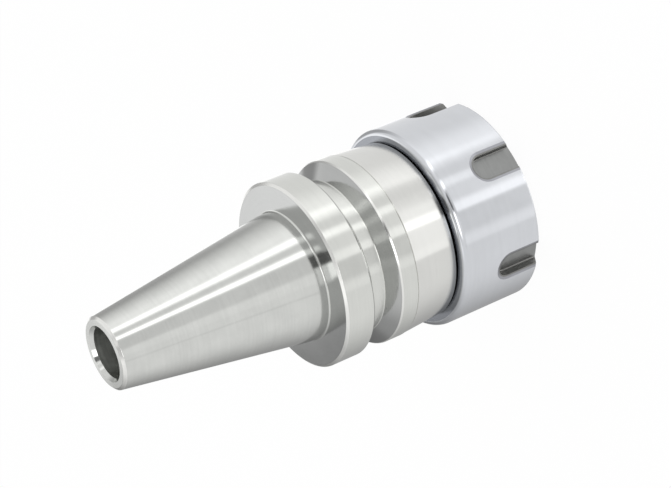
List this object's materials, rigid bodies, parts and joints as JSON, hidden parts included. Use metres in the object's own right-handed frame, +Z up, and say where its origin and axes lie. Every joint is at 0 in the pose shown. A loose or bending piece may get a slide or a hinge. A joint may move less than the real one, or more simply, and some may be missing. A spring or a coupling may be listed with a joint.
{
  "type": "collet chuck holder",
  "caption": "Machine tool collet chuck with a steep taper shank, grooved flange and slotted clamping nut round a spring collet.",
  "frame": {"origin": "centre of the clamping nut's front face, on which the chuck stands", "axes": "+Z up the chuck's axis, from the nut to the shank's small end; a spanner slot of the nut faces -Y"},
  "size_m": [0.05, 0.05, 0.1059],
  "materials": {
    "ground_steel": "turned and ground, bright",
    "nut_steel": "ground, bright, slightly bluish",
    "collet_steel": "hardened spring steel, ground",
    "black_oxide_steel": "black oxide"
  },
  "bodies": {
    "nut": {"clamping_nut": "nut_steel"},
    "collet": {"collet": "collet_steel"},
    "holder": {"holder_body": "ground_steel"},
    "stop": {"stop_screw": "black_oxide_steel"}
  },
  "joints": [
    {"name": "nut_turn", "type": "hinge", "parent": "nut", "child": "collet", "pos_m": [0, 0, 0.0109], "axis": [0, 0, 1], "range_deg": [0, 2160]},
    {"name": "nut_travel", "type": "slide", "parent": "collet", "child": "holder", "axis": [0, 0, 1], "range_m": [0, 0.009]},
    {"name": "stop_travel", "type": "slide", "parent": "holder", "child": "stop", "axis": [0, 0, 1], "range_m": [-0.005, 0.0015]}
  ],
  "couplings": [
    {"joint": "nut_travel", "follows": "nut_turn", "m_per_rad": 0.00023873}
  ]
}
